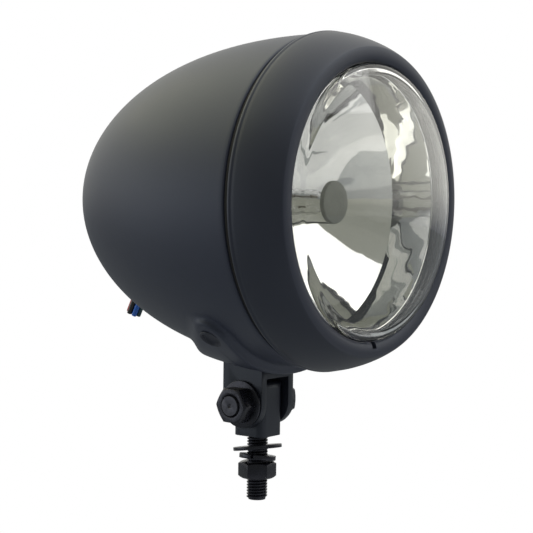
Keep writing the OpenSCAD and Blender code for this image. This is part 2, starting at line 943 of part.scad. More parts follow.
// Loose flat washer, tipped a little
module flat_washer() {
    color("#2a2b2f")
        translate([0.2, 0, -washer_z])
            rotate(a = tip_a, v = tip_axis)
                difference() {
                    cylinder(h = 1.9, r = loose_r);
                    translate([0, 0, -1])
                        cylinder(h = 4, r = stud_r + loose_gap + 0.3);
                }
}

// Split spring washer on the nut
module spring_washer() {
    color("#232428")
        translate([0, 0, -nut_drop + 1.35])
            rotate([0, spring_a, 0])
                difference() {
                    cylinder(h = 2.3, r = 9.4);
                    translate([0, 0, -1])
                        cylinder(h = 6, r = stud_r + loose_gap);
                    rotate([0, 0, 200])
                        translate([0, -0.8, -1])
                            cube([20, 1.6, 6]);
                }
}

// Nut on the stud
module stud_nut() {
    color("#222328")
        translate([0, 0, -nut_drop - nut_h])
            difference() {
                rotate([0, 0, 8])
                    hexagon(nut_h, true);
                translate([0, 0, -1])
                    cylinder(h = nut_h + 2, r = stud_r);
            }
}

shell();
pad_plugs();
bezel();
bezel_gasket();
bezel_screw();
retaining_ring();
unit_clips();
lens_seal();
lens();
reflector();
bulb_shield();
bulb_glass();
filaments();
bulb_base();
bulb_clip();
bulb_boot();
connector();
terminals();
parking_bulb();
parking_holder();
parking_leads();
wire_grommet();
wire_red();
wire_white();
wire_blue();
wire_dark();
wires_black();
clevis_bracket();
bracket_screws();
bracket_nuts();
backing_plate();
pivot_bolt();
pivot_nut();
pivot_washers();
mount_block();
stud();
flat_washer();
spring_washer();
stud_nut();
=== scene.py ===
"""Looks of a round motorcycle headlight.

A matte bullet shell with a deep bezel, clear glass over a mirrored bowl, and a bottom bracket
that tilts on a block with a threaded stud. It is run as a script, and the panel in the 3D
view's sidebar lists the same steps one by one.
"""

import math

import bmesh
import bpy
from mathutils import Matrix, Vector


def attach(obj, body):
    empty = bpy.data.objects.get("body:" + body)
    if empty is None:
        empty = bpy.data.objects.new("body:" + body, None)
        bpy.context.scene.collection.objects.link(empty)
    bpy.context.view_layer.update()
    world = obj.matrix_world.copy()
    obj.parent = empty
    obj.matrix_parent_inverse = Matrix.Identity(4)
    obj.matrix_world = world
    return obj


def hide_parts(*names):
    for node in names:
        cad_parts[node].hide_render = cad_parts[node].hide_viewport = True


bl_info = {
    "name": "Round motorcycle headlight",
    "version": (1, 0, 0),
    "blender": (4, 5, 0),
    "location": "3D View > Sidebar > Headlight",
    "description": "Dresses the packed headlight with detailed pieces and finishes",
    "category": "Object",
}

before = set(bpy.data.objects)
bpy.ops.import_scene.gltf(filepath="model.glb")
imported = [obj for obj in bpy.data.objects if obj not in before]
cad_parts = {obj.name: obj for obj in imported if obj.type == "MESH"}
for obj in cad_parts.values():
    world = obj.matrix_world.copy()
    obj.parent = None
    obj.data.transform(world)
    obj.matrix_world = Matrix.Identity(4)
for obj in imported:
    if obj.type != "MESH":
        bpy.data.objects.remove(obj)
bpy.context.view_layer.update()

MM = 0.001

# Every s below is a distance behind the bezel's lip, and every size without a unit is in mm.
# The lamp's axis over the block's foot, and the lip's place along Y
LAMP_HEIGHT = 119.5
LIP_Y = -70.0
# The shell's front edge in the solids, the front of its sheet in sight, and the sheet's wall
SHELL_FRONT = 25.9
SHEET_FRONT = 27.8
SHEET = 1.6
# The curve of the shell: how round it is along and across
SHELL_ALONG = 2.19
SHELL_ACROSS = 1.93
# The curve of the bezel: its radius at the lip, how far it swells, over what length, how round
BEZEL_LIP = 74.5
BEZEL_SWELL = 8.9
BEZEL_RUN = 26.65
BEZEL_ALONG = 1.63
BEZEL_ACROSS = 1.14
# The glass: its wall, the radius where its dome ends, and how far that stands out of the lip
GLASS_WALL = 3.2
DOME_EDGE = 62.4
DOME_OUT = 3.5
# The mirror: its wall, its flange's front, and the radius of the bulb's hole
MIRROR_WALL = 1.6
MIRROR_FLANGE = 8.0
BULB_HOLE = 12.0
# The hole of the parking lamp beside and under the axis, and its radius
PARKING_X = -33.0
PARKING_Z = -26.0
PARKING_HOLE = 5.2
# The raised pad, seen from below: the centre and radius of a side lobe, and of the rear tip
LOBE_X = 52.5
LOBE_S = 57.5
LOBE_R = 9.5
TIP_S = 90.0
TIP_R = 14.0
# The pad's full height as drawn in PAD_STEPS, and the point that its top is drawn in to
PAD_DRAWN = 5.0
PAD_MIDDLE = 67.0
# Radius of a pad plug's hole, how deep it is, and its lean from straight down in degrees
PLUG_HOLE = 5.4
PLUG_DEPTH = 3.2
PLUG_LEAN = 39.0
# The wires: their end behind the lip and under the axis, lean in degrees, pitch in the bundle
WIRE_END_S = 157.0
WIRE_END_Z = -62.5
WIRE_LEAN = 26.0
WIRE_PITCH = 2.9
# Radius over the stud's thread, and the heights where the thread starts and ends
THREAD_R = 5.3
THREAD_LOW = -33.3
THREAD_HIGH = 6.0


def srgb(code):
    """A linear colour from an sRGB hex value."""
    parts = [int(code[i : i + 2], 16) / 255 for i in (0, 2, 4)]
    return (*[c / 12.92 if c <= 0.04045 else ((c + 0.055) / 1.055) ** 2.4 for c in parts], 1.0)


# Sizes and colours that a user would change


class BodySizes(bpy.types.PropertyGroup):
    """Sizes and paints of the shell, its pad and the bezel"""

    shell_radius: bpy.props.FloatProperty(
        name="Shell radius",
        description="Largest radius of the bullet shell",
        default=82.1 * MM,
        unit="LENGTH",
    )
    shell_middle: bpy.props.FloatProperty(
        name="Widest place",
        description="Distance of the largest radius behind the bezel's lip",
        default=30.4 * MM,
        unit="LENGTH",
    )
    shell_run: bpy.props.FloatProperty(
        name="Tail length",
        description="Length from the largest radius to the tail",
        default=144.3 * MM,
        unit="LENGTH",
    )
    pad_rise: bpy.props.FloatProperty(
        name="Pad height",
        description="Height of the raised pad over the shell",
        default=5.0 * MM,
        unit="LENGTH",
    )
    paint: bpy.props.FloatVectorProperty(
        name="Shell paint",
        description="Colour of the shell's matte powder coat",
        subtype="COLOR",
        size=3,
        default=srgb("292c3b")[:3],
    )
    bezel_paint: bpy.props.FloatVectorProperty(
        name="Bezel paint",
        description="Colour of the bezel's matte powder coat",
        subtype="COLOR",
        size=3,
        default=srgb("232531")[:3],
    )


class LampSizes(bpy.types.PropertyGroup):
    """Sizes and colours of the glass, the mirrored bowl and the bulb's shield"""

    rim: bpy.props.FloatProperty(
        name="Bowl radius",
        description="Radius of the mirrored bowl's straight rim",
        default=62.7 * MM,
        unit="LENGTH",
    )
    crease: bpy.props.FloatProperty(
        name="Rim depth",
        description="Distance behind the bezel's lip of the crease between the rim and the bowl",
        default=31.0 * MM,
        unit="LENGTH",
    )
    vertex: bpy.props.FloatProperty(
        name="Bowl depth",
        description="Distance of the bowl's vertex behind the bezel's lip",
        default=72.0 * MM,
        unit="LENGTH",
    )
    dome_radius: bpy.props.FloatProperty(
        name="Dome radius",
        description="Radius of the glass's dome",
        default=195.0 * MM,
        unit="LENGTH",
    )
    flute: bpy.props.FloatProperty(
        name="Flute depth",
        description="Depth of the shallow waves round the mirror's rim",
        default=0.16 * MM,
        unit="LENGTH",
    )
    glass_tint: bpy.props.FloatVectorProperty(
        name="Glass tint",
        description="Tint of the lamp's glass",
        subtype="COLOR",
        size=3,
        default=srgb("fdfdfc")[:3],
    )
    shield_paint: bpy.props.FloatVectorProperty(
        name="Shield lacquer",
        description="Colour of the cap in front of the bulb",
        subtype="COLOR",
        size=3,
        default=srgb("666962")[:3],
    )


class MountSizes(bpy.types.PropertyGroup):
    """Sizes and colours of the bracket, the block and the fasteners"""

    thread_pitch: bpy.props.FloatProperty(
        name="Thread pitch",
        description="Pitch of the stud's thread",
        default=1.5 * MM,
        unit="LENGTH",
    )
    thread_depth: bpy.props.FloatProperty(
        name="Thread depth",
        description="Depth of the stud's thread",
        default=0.85 * MM,
        unit="LENGTH",
    )
    edge: bpy.props.FloatProperty(
        name="Edge rounding",
        description="Rounding of the bracket's edges; the block's are softer",
        default=0.5 * MM,
        unit="LENGTH",
    )
    bracket_paint: bpy.props.FloatVectorProperty(
        name="Bracket paint",
        description="Colour of the bracket's and block's satin powder coat",
        subtype="COLOR",
        size=3,
        default=srgb("181a24")[:3],
    )
    steel: bpy.props.FloatVectorProperty(
        name="Fastener finish",
        description="Colour of the black zinc on the nuts, washers and stud",
        subtype="COLOR",
        size=3,
        default=srgb("26272f")[:3],
    )


def body_sizes():
    """The shell's, pad's and bezel's sizes and paints."""
    return bpy.context.scene.headlight_body


def lamp_sizes():
    """The glass's, mirror's and shield's sizes and colours."""
    return bpy.context.scene.headlight_lamp


def mount_sizes():
    """The bracket's, block's and fasteners' sizes and colours."""
    return bpy.context.scene.headlight_mount


# Forms


def clamped(value):
    """A value held between 0 and 1."""
    return max(0.0, min(1.0, value))


def shell_r(s):
    """Radius of the shell's outer face at s."""
    b = body_sizes()
    t = abs(s - b.shell_middle / MM) / (b.shell_run / MM)
    return b.shell_radius / MM * max(0.0, 1 - t**SHELL_ALONG) ** (1 / SHELL_ACROSS)


def bezel_r(s):
    """Radius of the bezel's outer face at s."""
    run = 1 - (1 - s / BEZEL_RUN) ** BEZEL_ALONG
    return BEZEL_LIP + BEZEL_SWELL * run ** (1 / BEZEL_ACROSS)


def dome_s(r):
    """Place of the glass's front at a radius. It is negative, because it is before the lip."""
    big = lamp_sizes().dome_radius / MM
    rise = math.sqrt(big * big - r * r) - math.sqrt(big * big - DOME_EDGE * DOME_EDGE)
    return -DOME_OUT - rise


def bowl_s(r):
    """Place of the mirrored bowl at a radius: a paraboloid from the crease to the vertex."""
    l = lamp_sizes()
    rim, crease, vertex = l.rim / MM, l.crease / MM, l.vertex / MM
    return vertex - (vertex - crease) * (r / rim) ** 2


def flute_at(x, z, s):
    """Depth of the rim's pressed waves at a place. The rim level with the bulb is plain."""
    l = lamp_sizes()
    turn = math.atan2(z, x)
    past_plain = math.degrees(abs(turn)) - 14
    if past_plain <= 0:
        return 0.0
    ends = min(1.0, (s - MIRROR_FLANGE) / 3.0) * min(1.0, (l.crease / MM - s) / 3.0)
    wave = math.sin(turn * 9 + 0.7)
    wave += 0.7 * math.sin(turn * 17 + s * 0.22)
    wave += 0.45 * math.sin(turn * 31 - s * 0.3)
    depth = l.flute / MM * (0.5 if turn > 0 else 1.0)
    return depth * (1.0 + wave / 2.2) * max(0.0, ends) * min(1.0, past_plain / 6)


def at_lamp(x, s, z):
    """A point x to the right of the lamp's axis, s behind the lip and z over the axis."""
    return Vector((x, LIP_Y + s, LAMP_HEIGHT + z)) * MM


def rounded(points, radius, steps):
    """An open outline with its inner corners rounded."""
    out = [points[0]]
    for before, here, after in zip(points, points[1:], points[2:]):
        here = Vector(here)
        back, on = Vector(before) - here, Vector(after) - here
        cut = min(radius / math.tan(back.angle(on) / 2), back.length * 0.45, on.length * 0.45)
        start, end = here + back.normalized() * cut, here + on.normalized() * cut
        for k in range(steps + 1):
            t = k / steps
            out.append(tuple(start * (1 - t) ** 2 + here * 2 * t * (1 - t) + end * t**2))
    return out + [points[-1]]


# Meshes


def line_of(bm, points, closed):
    """The vertices and edges of a line through points in metres."""
    verts = [bm.verts.new(p) for p in points]
    edges = [bm.edges.new(pair) for pair in zip(verts, verts[1:])]
    if closed:
        edges.append(bm.edges.new((verts[-1], verts[0])))
    return verts + edges


def spin(bm, line, centre, axis, steps, turns=1, rise=0.0):
    """Spins a line about an axis, rising all along where it makes a thread."""
    return bmesh.ops.spin(
        bm,
        geom=line,
        cent=centre,
        axis=axis,
        dvec=Vector(axis) * rise / steps,
        angle=2 * math.pi * turns,
        steps=steps,
        use_merge=rise == 0,
        use_duplicate=False,
    )


def turned(points, steps=192, closed=True):
    """A body of (radius, s) points, spun about the lamp's axis."""
    bm = bmesh.new()
    line = line_of(bm, [at_lamp(max(r, 0), s, 0) for r, s in points], closed)
    spin(bm, line, at_lamp(0, 0, 0), (0, 1, 0), steps)
    return bm


def upright(points, steps=64, closed=True):
    """A body of (radius, height) points, spun about the Z axis."""
    bm = bmesh.new()
    line = line_of(bm, [Vector((max(r, 0), 0, h)) * MM for r, h in points], closed)
    spin(bm, line, (0, 0, 0), (0, 0, 1), steps)
    return bm


def turned_on(points, place, axis, steps=64, closed=True):
    """A body of (radius, height) points, spun about an axis that starts at a place."""
    bm = upright(points, steps, closed)
    bmesh.ops.transform(bm, matrix=set_up(place, axis), verts=bm.verts)
    return bm


def set_up(place, axis):
    """The move that stands a body at a place, with its Z axis along the given one."""
    turn = Vector((0, 0, 1)).rotation_difference(Vector(axis)).to_matrix().to_4x4()
    return Matrix.Translation(Vector(place) * MM) @ turn


def joined(bm, other):
    """Adds a second bmesh to the first, and frees the second."""
    mesh = bpy.data.meshes.new("joined")
    other.to_mesh(mesh)
    other.free()
    bm.from_mesh(mesh)
    bpy.data.meshes.remove(mesh)
    return bm


def linked(name, bm):
    """An object in the scene made from a bmesh, which is freed."""
    mesh = bpy.data.meshes.new(name)
    bm.to_mesh(mesh)
    bm.free()
    obj = bpy.data.objects.new(name, mesh)
    bpy.context.scene.collection.objects.link(obj)
    return obj


def smooth(mesh, sharp):
    """Shades a mesh smooth, with hard edges where its faces meet at more than sharp degrees."""
    mesh.shade_smooth()
    mesh.set_sharp_from_angle(angle=math.radians(sharp))


def piece(name, bm, body, finish, replaces=(), sharp=35.0):
    """Closes a bmesh into a finished piece that rides on a body."""
    bmesh.ops.remove_doubles(bm, verts=bm.verts, dist=0.002 * MM)
    bmesh.ops.dissolve_degenerate(bm, edges=bm.edges, dist=0.0001 * MM)
    bmesh.ops.recalc_face_normals(bm, faces=bm.faces)
    if not bm.faces:
        raise RuntimeError("no faces in " + name)
    obj = linked(name, bm)
    smooth(obj.data, sharp)
    obj.data.materials.append(finish_of(finish))
    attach(obj, body)
    if replaces:
        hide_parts(*replaces)
    return obj


def cut_with(obj, cutter_bm, sharp):
    """Cuts a bmesh out of a piece."""
    bmesh.ops.recalc_face_normals(cutter_bm, faces=cutter_bm.faces)
    cutter = linked("cutter", cutter_bm)
    cut = obj.modifiers.new("cut", "BOOLEAN")
    cut.operation, cut.solver, cut.object = "DIFFERENCE", "EXACT", cutter
    bpy.context.view_layer.update()
    shown = obj.evaluated_get(bpy.context.evaluated_depsgraph_get())
    made = bpy.data.meshes.new_from_object(shown)
    if not made.polygons:
        raise RuntimeError("the cut left nothing of " + obj.name)
    obj.modifiers.remove(cut)
    whole, obj.data = obj.data, made
    tool = cutter.data
    bpy.data.objects.remove(cutter)
    for old in (whole, tool):
        bpy.data.meshes.remove(old)
    smooth(made, sharp)


def softened(name, width, angle=30.0, segments=2):
    """A merged copy of a CAD node's mesh with its edges sharper than angle rounded by width."""
    bm = bmesh.new()
    bm.from_mesh(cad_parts[name].data)
    bmesh.ops.remove_doubles(bm, verts=bm.verts, dist=0.002 * MM)
    bmesh.ops.dissolve_limit(
        bm, angle_limit=math.radians(0.6), verts=bm.verts, edges=bm.edges)
    edges = [
        e for e in bm.edges
        if len(e.link_faces) == 2 and e.calc_face_angle(0) > math.radians(angle)]
    bmesh.ops.bevel(
        bm, geom=edges, offset=width * MM, offset_type="OFFSET", segments=segments,
        profile=0.5, affect="EDGES", clamp_overlap=True, material=-1)
    return bm


# Materials


def node(tree, kind, inputs=None, stops=(), **settings):
    """Adds a node with its settings and links.

    An input is a value or the socket that feeds it. The stops are a colour ramp's places and
    colours, from its first to its last.
    """
    made = tree.nodes.new("ShaderNode" + kind)
    for key, value in settings.items():
        setattr(made, key, value)
    for key, value in (inputs or {}).items():
        if isinstance(value, bpy.types.NodeSocket):
            tree.links.new(value, made.inputs[key])
        else:
            made.inputs[key].default_value = value
    if stops:
        band = made.color_ramp.elements
        band[0].position, band[0].color = stops[0]
        band[1].position, band[1].color = stops[-1]
        for place, colour in stops[1:-1]:
            band.new(place).color = colour
    return made


def new_material(name):
    """An empty node material, its tree, its output, and where its patterns are laid out."""
    made = bpy.data.materials.new(name)
    made.use_nodes = True
    tree = made.node_tree
    tree.nodes.clear()
    out = node(tree, "OutputMaterial")
    return made, tree, out, node(tree, "TexCoord").outputs["Object"]


def per_metre(size):
    """A noise's scale, from the size of its grains in mm."""
    return 1 / (size * MM)


def shade(colour, share):
    """A linear colour made lighter or darker by a share."""
    return (*[min(1.0, c * share) for c in colour[:3]], 1.0)


def powder_coat(name, paint, roughness):
    """Black polyester powder coat, sprayed and baked.

    It is matte with a soft bluish sheen at a glance, and has a faint skin like orange peel.
    The skin is drawn at 1.6 mm, because the real 0.3 mm one is too fine to show.
    """
    made, tree, out, place = new_material(name)
    skin = node(tree, "TexNoise", {"Vector": place, "Scale": per_metre(1.6), "Detail": 2.0})
    drift = node(tree, "TexNoise", {"Vector": place, "Scale": per_metre(45), "Detail": 3.0})
    tone = node(
        tree, "ValToRGB", {"Fac": drift.outputs["Fac"]},
        stops=((0.35, shade(paint, 1.0)), (0.7, shade(paint, 1.12))))
    rough = node(tree, "MapRange", {
        "Value": drift.outputs["Fac"], "From Min": 0.3, "From Max": 0.7,
        "To Min": roughness - 0.02, "To Max": roughness + 0.02})
    bump = node(tree, "Bump", {
        "Height": skin.outputs["Fac"], "Strength": 0.10, "Distance": 0.2 * MM})
    coat = node(tree, "BsdfPrincipled", {
        "Base Color": tone.outputs["Color"], "Roughness": rough.outputs["Result"],
        "Specular IOR Level": 0.5, "Specular Tint": (0.80, 0.88, 1.0, 1.0), "IOR": 1.5,
        "Normal": bump.outputs["Normal"]})
    tree.links.new(coat.outputs["BSDF"], out.inputs["Surface"])
    return made


def black_zinc(name, tone_base, roughness):
    """Steel, plated with zinc and passivated black.

    It is dark, slightly bluish and satin, with paler stains of 8 mm and a grain drawn at
    1.1 mm, coarser than the real one, so that the light breaks up on it.
    """
    made, tree, out, place = new_material(name)
    grain = node(tree, "TexNoise", {"Vector": place, "Scale": per_metre(1.1), "Detail": 3.0})
    stain = node(tree, "TexNoise", {"Vector": place, "Scale": per_metre(7.7), "Detail": 2.0})
    tone = node(
        tree, "ValToRGB", {"Fac": stain.outputs["Fac"]},
        stops=((0.4, shade(tone_base, 1.0)), (0.75, shade(tone_base, 1.5))))
    rough = node(tree, "MapRange", {
        "Value": grain.outputs["Fac"], "From Min": 0.3, "From Max": 0.7,
        "To Min": roughness - 0.05, "To Max": roughness + 0.08})
    bump = node(tree, "Bump", {
        "Height": grain.outputs["Fac"], "Strength": 0.12, "Distance": 0.1 * MM})
    steel = node(tree, "BsdfPrincipled", {
        "Base Color": tone.outputs["Color"], "Metallic": 0.55,
        "Roughness": rough.outputs["Result"], "Normal": bump.outputs["Normal"]})
    tree.links.new(steel.outputs["BSDF"], out.inputs["Surface"])
    return made


def bright_metal(name, tone_base, roughness, grain_size):
    """Plain metal, rolled, drawn or plated. It is bright, with a fine grain of a size in mm."""
    made, tree, out, place = new_material(name)
    grain = node(tree, "TexNoise", {
        "Vector": place, "Scale": per_metre(grain_size), "Detail": 3.0})
    tone = node(
        tree, "ValToRGB", {"Fac": grain.outputs["Fac"]},
        stops=((0.3, shade(tone_base, 0.86)), (0.7, shade(tone_base, 1.0))))
    rough = node(tree, "MapRange", {
        "Value": grain.outputs["Fac"], "From Min": 0.3, "From Max": 0.7,
        "To Min": roughness * 0.8, "To Max": roughness * 1.2})
    metal = node(tree, "BsdfPrincipled", {
        "Base Color": tone.outputs["Color"], "Metallic": 1.0,
        "Roughness": rough.outputs["Result"]})
    tree.links.new(metal.outputs["BSDF"], out.inputs["Surface"])
    return made


def vacuum_aluminium(name):
    """Aluminium evaporated in a vacuum on a lacquered bowl.

    It mirrors sharply. The lacquer under it waves slowly, at about 8 mm, and its brightness
    drifts at 17 mm.
    """
    made, tree, out, place = new_material(name)
    wave = node(tree, "TexNoise", {"Vector": place, "Scale": per_metre(8.333), "Detail": 1.0})
    haze = node(tree, "TexNoise", {"Vector": place, "Scale": per_metre(16.67), "Detail": 2.0})
    bump = node(tree, "Bump", {
        "Height": wave.outputs["Fac"], "Strength": 0.10, "Distance": 0.6 * MM})
    tone = node(
        tree, "ValToRGB", {"Fac": haze.outputs["Fac"]},
        stops=((0.3, srgb("ecece8")), (0.7, srgb("f4f4f1"))))
    mirror = node(tree, "BsdfPrincipled", {
        "Base Color": tone.outputs["Color"], "Metallic": 1.0, "Roughness": 0.035,
        "Normal": bump.outputs["Normal"]})
    tree.links.new(mirror.outputs["BSDF"], out.inputs["Surface"])
    return made


def clear_glass(name, tint):
    """Pressed soda-lime glass, fire polished.

    It is clear, with a faint flow of its surface at 14 mm. The lamps' light goes straight
    through it, so that what is behind it is lit.
    """
    made, tree, out, place = new_material(name)
    flow = node(tree, "TexNoise", {"Vector": place, "Scale": per_metre(14.29), "Detail": 1.0})
    bump = node(tree, "Bump", {
        "Height": flow.outputs["Fac"], "Strength": 0.04, "Distance": 0.6 * MM})
    glass = node(tree, "BsdfPrincipled", {
        "Base Color": shade(tint, 1.0), "Roughness": 0.0, "IOR": 1.52,
        "Transmission Weight": 1.0, "Normal": bump.outputs["Normal"]})
    through = node(tree, "BsdfTransparent", {"Color": shade(tint, 1.0)})
    lit = node(tree, "LightPath").outputs["Is Shadow Ray"]
    mix = node(tree, "MixShader", {
        0: lit, 1: glass.outputs["BSDF"], 2: through.outputs["BSDF"]})
    tree.links.new(mix.outputs["Shader"], out.inputs["Surface"])
    return made


def moulded(name, tone_base, roughness, grain_size, gloss=0.5):
    """Moulded rubber, nylon or vinyl, or a lacquer like them.

    It has a fine spark-eroded grain from its mould, of a size in mm.
    """
    made, tree, out, place = new_material(name)
    grain = node(tree, "TexNoise", {
        "Vector": place, "Scale": per_metre(grain_size), "Detail": 2.0})
    tone = node(
        tree, "ValToRGB", {"Fac": grain.outputs["Fac"]},
        stops=((0.3, shade(tone_base, 1.0)), (0.7, shade(tone_base, 1.2))))
    bump = node(tree, "Bump", {
        "Height": grain.outputs["Fac"], "Strength": 0.15, "Distance": 0.1 * MM})
    stuff = node(tree, "BsdfPrincipled", {
        "Base Color": tone.outputs["Color"], "Roughness": roughness,
        "Specular IOR Level": gloss, "Normal": bump.outputs["Normal"]})
    tree.links.new(stuff.outputs["BSDF"], out.inputs["Surface"])
    return made


FINISHES = {
    "body_paint": lambda: powder_coat("matte_black_powder_coat", body_sizes().paint, 0.50),
    "bezel_paint": lambda: powder_coat("bezel_powder_coat", body_sizes().bezel_paint, 0.47),
    "bracket_paint": lambda: powder_coat(
        "bracket_powder_coat", mount_sizes().bracket_paint, 0.40),
    "black_steel": lambda: black_zinc("black_zinc_steel", mount_sizes().steel, 0.25),
    "bolt_face": lambda: black_zinc("worn_black_zinc_steel", srgb("3a3b43"), 0.36),
    "plain_steel": lambda: bright_metal("zinc_plated_steel", srgb("b4b7ba"), 0.30, 1.2),
    "copper": lambda: bright_metal("bare_copper", srgb("c98a5a"), 0.30, 0.6),
    "brass": lambda: bright_metal("cartridge_brass", srgb("c9a45a"), 0.25, 1.0),
    "filament": lambda: bright_metal("nickel_wire", srgb("8f8a80"), 0.35, 0.8),
    "mirror": lambda: vacuum_aluminium("vacuum_aluminium_mirror"),
    "shield": lambda: moulded("matte_grey_lacquer", lamp_sizes().shield_paint, 0.6, 0.8),
    "glass": lambda: clear_glass("pressed_lamp_glass", lamp_sizes().glass_tint),
    "bulb_glass": lambda: clear_glass("bulb_quartz_glass", srgb("fdfdfd")),
    "rubber": lambda: moulded("black_rubber", srgb("131315"), 0.75, 1.0, 0.35),
    "plug_rubber": lambda: moulded("soft_plug_rubber", srgb("262935"), 0.6, 1.0, 0.4),
    "connector": lambda: moulded("black_nylon", srgb("26282b"), 0.5, 0.8),
    "wire_red": lambda: moulded("red_vinyl_cover", srgb("a01f26"), 0.4, 2.0),
    "wire_white": lambda: moulded("white_vinyl_cover", srgb("c9cac2"), 0.4, 2.0),
    "wire_blue": lambda: moulded("blue_vinyl_cover", srgb("1c5fc0"), 0.4, 2.0),
    "wire_dark": lambda: moulded("petrol_vinyl_cover", srgb("143c46"), 0.4, 2.0),
    "wire_black": lambda: moulded("black_vinyl_cover", srgb("121214"), 0.4, 2.0),
}
made_finishes = {}


def finish_of(name):
    """The finish of that name, made on its first use."""
    if name not in made_finishes:
        made_finishes[name] = FINISHES[name]()
    return made_finishes[name]


# CAD nodes whose shape is right, and the finish that each one gets
KEPT_NODES = {
    "bezel_screw": "black_steel",
    "retaining_ring": "plain_steel",
    "unit_clips": "plain_steel",
    "lens_seal": "rubber",
    "bulb_glass": "bulb_glass",
    "filaments": "filament",
    "bulb_base": "plain_steel",
    "bulb_clip": "plain_steel",
    "bulb_boot": "rubber",
    "connector": "connector",
    "terminals": "brass",
    "parking_bulb": "bulb_glass",
    "parking_holder": "rubber",
    "parking_leads": "wire_dark",
    "wire_grommet": "rubber",
    "bracket_screws": "black_steel",
    "bracket_nuts": "plain_steel",
    "backing_plate": "plain_steel",
}

# Pieces


class HEADLIGHT_OT_kept_nodes(bpy.types.Operator):
    """Gives the CAD nodes that stay in sight or inside the lamp their finishes"""

    bl_idname = "headlight.kept_nodes"
    bl_label = "Finishes of the plain parts"

    def execute(self, context):
        for name, finish in KEPT_NODES.items():
            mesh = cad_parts[name].data
            mesh.materials.clear()
            mesh.materials.append(finish_of(finish))
        return {"FINISHED"}


class HEADLIGHT_OT_shell(bpy.types.Operator):
    """Spins the bullet shell with its front flange, and the gasket in the groove before it"""

    bl_idname = "headlight.shell"
    bl_label = "Bullet shell"

    def execute(self, context):
        b = body_sizes()
        tail = (b.shell_middle + b.shell_run) / MM
        rows = [
            SHELL_FRONT + (tail - SHELL_FRONT) * (1 - (1 - i / 110) ** 1.9) for i in range(111)]
        mouth = shell_r(SHELL_FRONT)
        # The sheet's rounded front edge, then the shell to its tail
        outer = [
            (mouth - 1.5, SHEET_FRONT), (mouth - 0.8, 27.83), (mouth - 0.35, 28.0),
            (mouth - 0.08, 28.35), (mouth + 0.06, 28.9)]
        outer += [(shell_r(s), s) for s in rows if s > 29.6]
        inner = [
            (max(shell_r(s) - SHEET, 0.0), s - 1.2 * (i / 110) ** 3)
            for i, s in enumerate(rows)]
        inner = [(r, s) for r, s in inner if r > 0.5 and s > 30.5]
        back = SHEET_FRONT + SHEET
        flange = [(mouth - 1.7, back), (mouth - 6, back), (mouth - 6, SHEET_FRONT)]
        profile = outer + [(0.0, tail - SHEET)] + inner[::-1] + flange
        piece(
            "shell_skin", turned(profile, 288), "lamp", "body_paint",
            ("shell",), 40)
        ring = [
            (75.5, 25.05), (81.1, 25.05), (81.4, 25.3), (81.4, 27.4), (81.1, 27.75),
            (75.5, 27.75)]
        piece(
            "groove_gasket", turned(ring, 288), "lamp", "rubber",
            ("bezel_gasket",), 40)
        return {"FINISHED"}


# Steps up the pad's edge, from under the shell's face to the flat top: how far in from the
# outline at the lobes and at the rear tip, and how high over the shell
PAD_STEPS = (
    (-2.6, -6.5, -0.9),
    (-2.6, -6.5, 0.0),
    (-2.1, -5.5, 0.12),
    (-1.6, -4.5, 0.45),
    (-1.15, -3.5, 1.05),
    (-0.8, -2.5, 1.85),
    (-0.55, -1.5, 2.7),
    (-0.35, -0.5, 3.6),
    (-0.05, 0.5, 4.3),
    (0.35, 1.5, 4.72),
    (0.9, 2.5, 4.93),
    (1.8, 3.5, 5.0),
    (3.4, 4.8, 5.0),
    (5.4, 6.2, 5.0),
    (7.4, 7.8, 5.0),
    (9.2, 9.2, 5.0),
)


def pad_outline(inset):
    """The pad's outline seen from below, drawn in by inset, as (x, s) points.

    It has the same count of points for every inset.
    """
    lean = math.atan2(TIP_S - LOBE_S, LOBE_X)
    turn = math.asin((LOBE_R - TIP_R) / math.hypot(TIP_S - LOBE_S, LOBE_X))
    side_turn = math.pi / 2 - lean - turn
    lobe_turns = [-math.pi / 2 + (math.pi / 2 + side_turn) * i / 20 for i in range(21)]
    tip_turns = [side_turn + (math.pi - 2 * side_turn) * i / 16 for i in range(17)]
    lobe_r, tip_r = LOBE_R - inset, TIP_R - inset
    lobe = [(LOBE_X + lobe_r * math.cos(a), LOBE_S + lobe_r * math.sin(a)) for a in lobe_turns]
    tip = [(tip_r * math.cos(a), TIP_S + tip_r * math.sin(a)) for a in tip_turns]
    side = [tuple(Vector(lobe[-1]).lerp(Vector(tip[0]), i / 16)) for i in range(1, 16)]
    right = lobe + side
    left = [(-x, s) for x, s in right[::-1]]
    front = [(-LOBE_X + 2 * LOBE_X * i / 28, LOBE_S - lobe_r) for i in range(1, 28)]
    return right + tip + left + front


def pad_edge(front, rear):
    """The outline drawn in by front at the lobes and by rear behind them."""
    edge = []
    for (x, s), (rear_x, rear_s) in zip(pad_outline(front), pad_outline(rear)):
        share = clamped((s - 59) / 10)
        edge.append((x + (rear_x - x) * share, s + (rear_s - s) * share))
    return edge


def pad_share(x, s):
    """Share of the pad's full height. It falls off toward the lobes and the rear tip."""
    out = clamped((abs(x) - 22) / 42)
    back = clamped((s - 81) / 25)
    return (1 - 0.35 * out * out) * (1 - 0.8 * back * back)


def on_pad(x, s, h):
    """A point h over the shell's lower side, x to the right seen from below."""
    angle = math.asin(max(-1, min(1, x / (shell_r(s) + PAD_DRAWN))))
    r = shell_r(s) + h
    return at_lamp(r * math.sin(angle), s, -r * math.cos(angle))


def pad_loop(edge, h, share=1.0):
    """A loop on the pad at h over the shell, an edge drawn in to a share of its size."""
    points = []
    for x, s in edge:
        x, s = x * share, PAD_MIDDLE + (s - PAD_MIDDLE) * share
        points.append(on_pad(x, s, h * pad_share(x, s) if h > 0 else h))
    return points


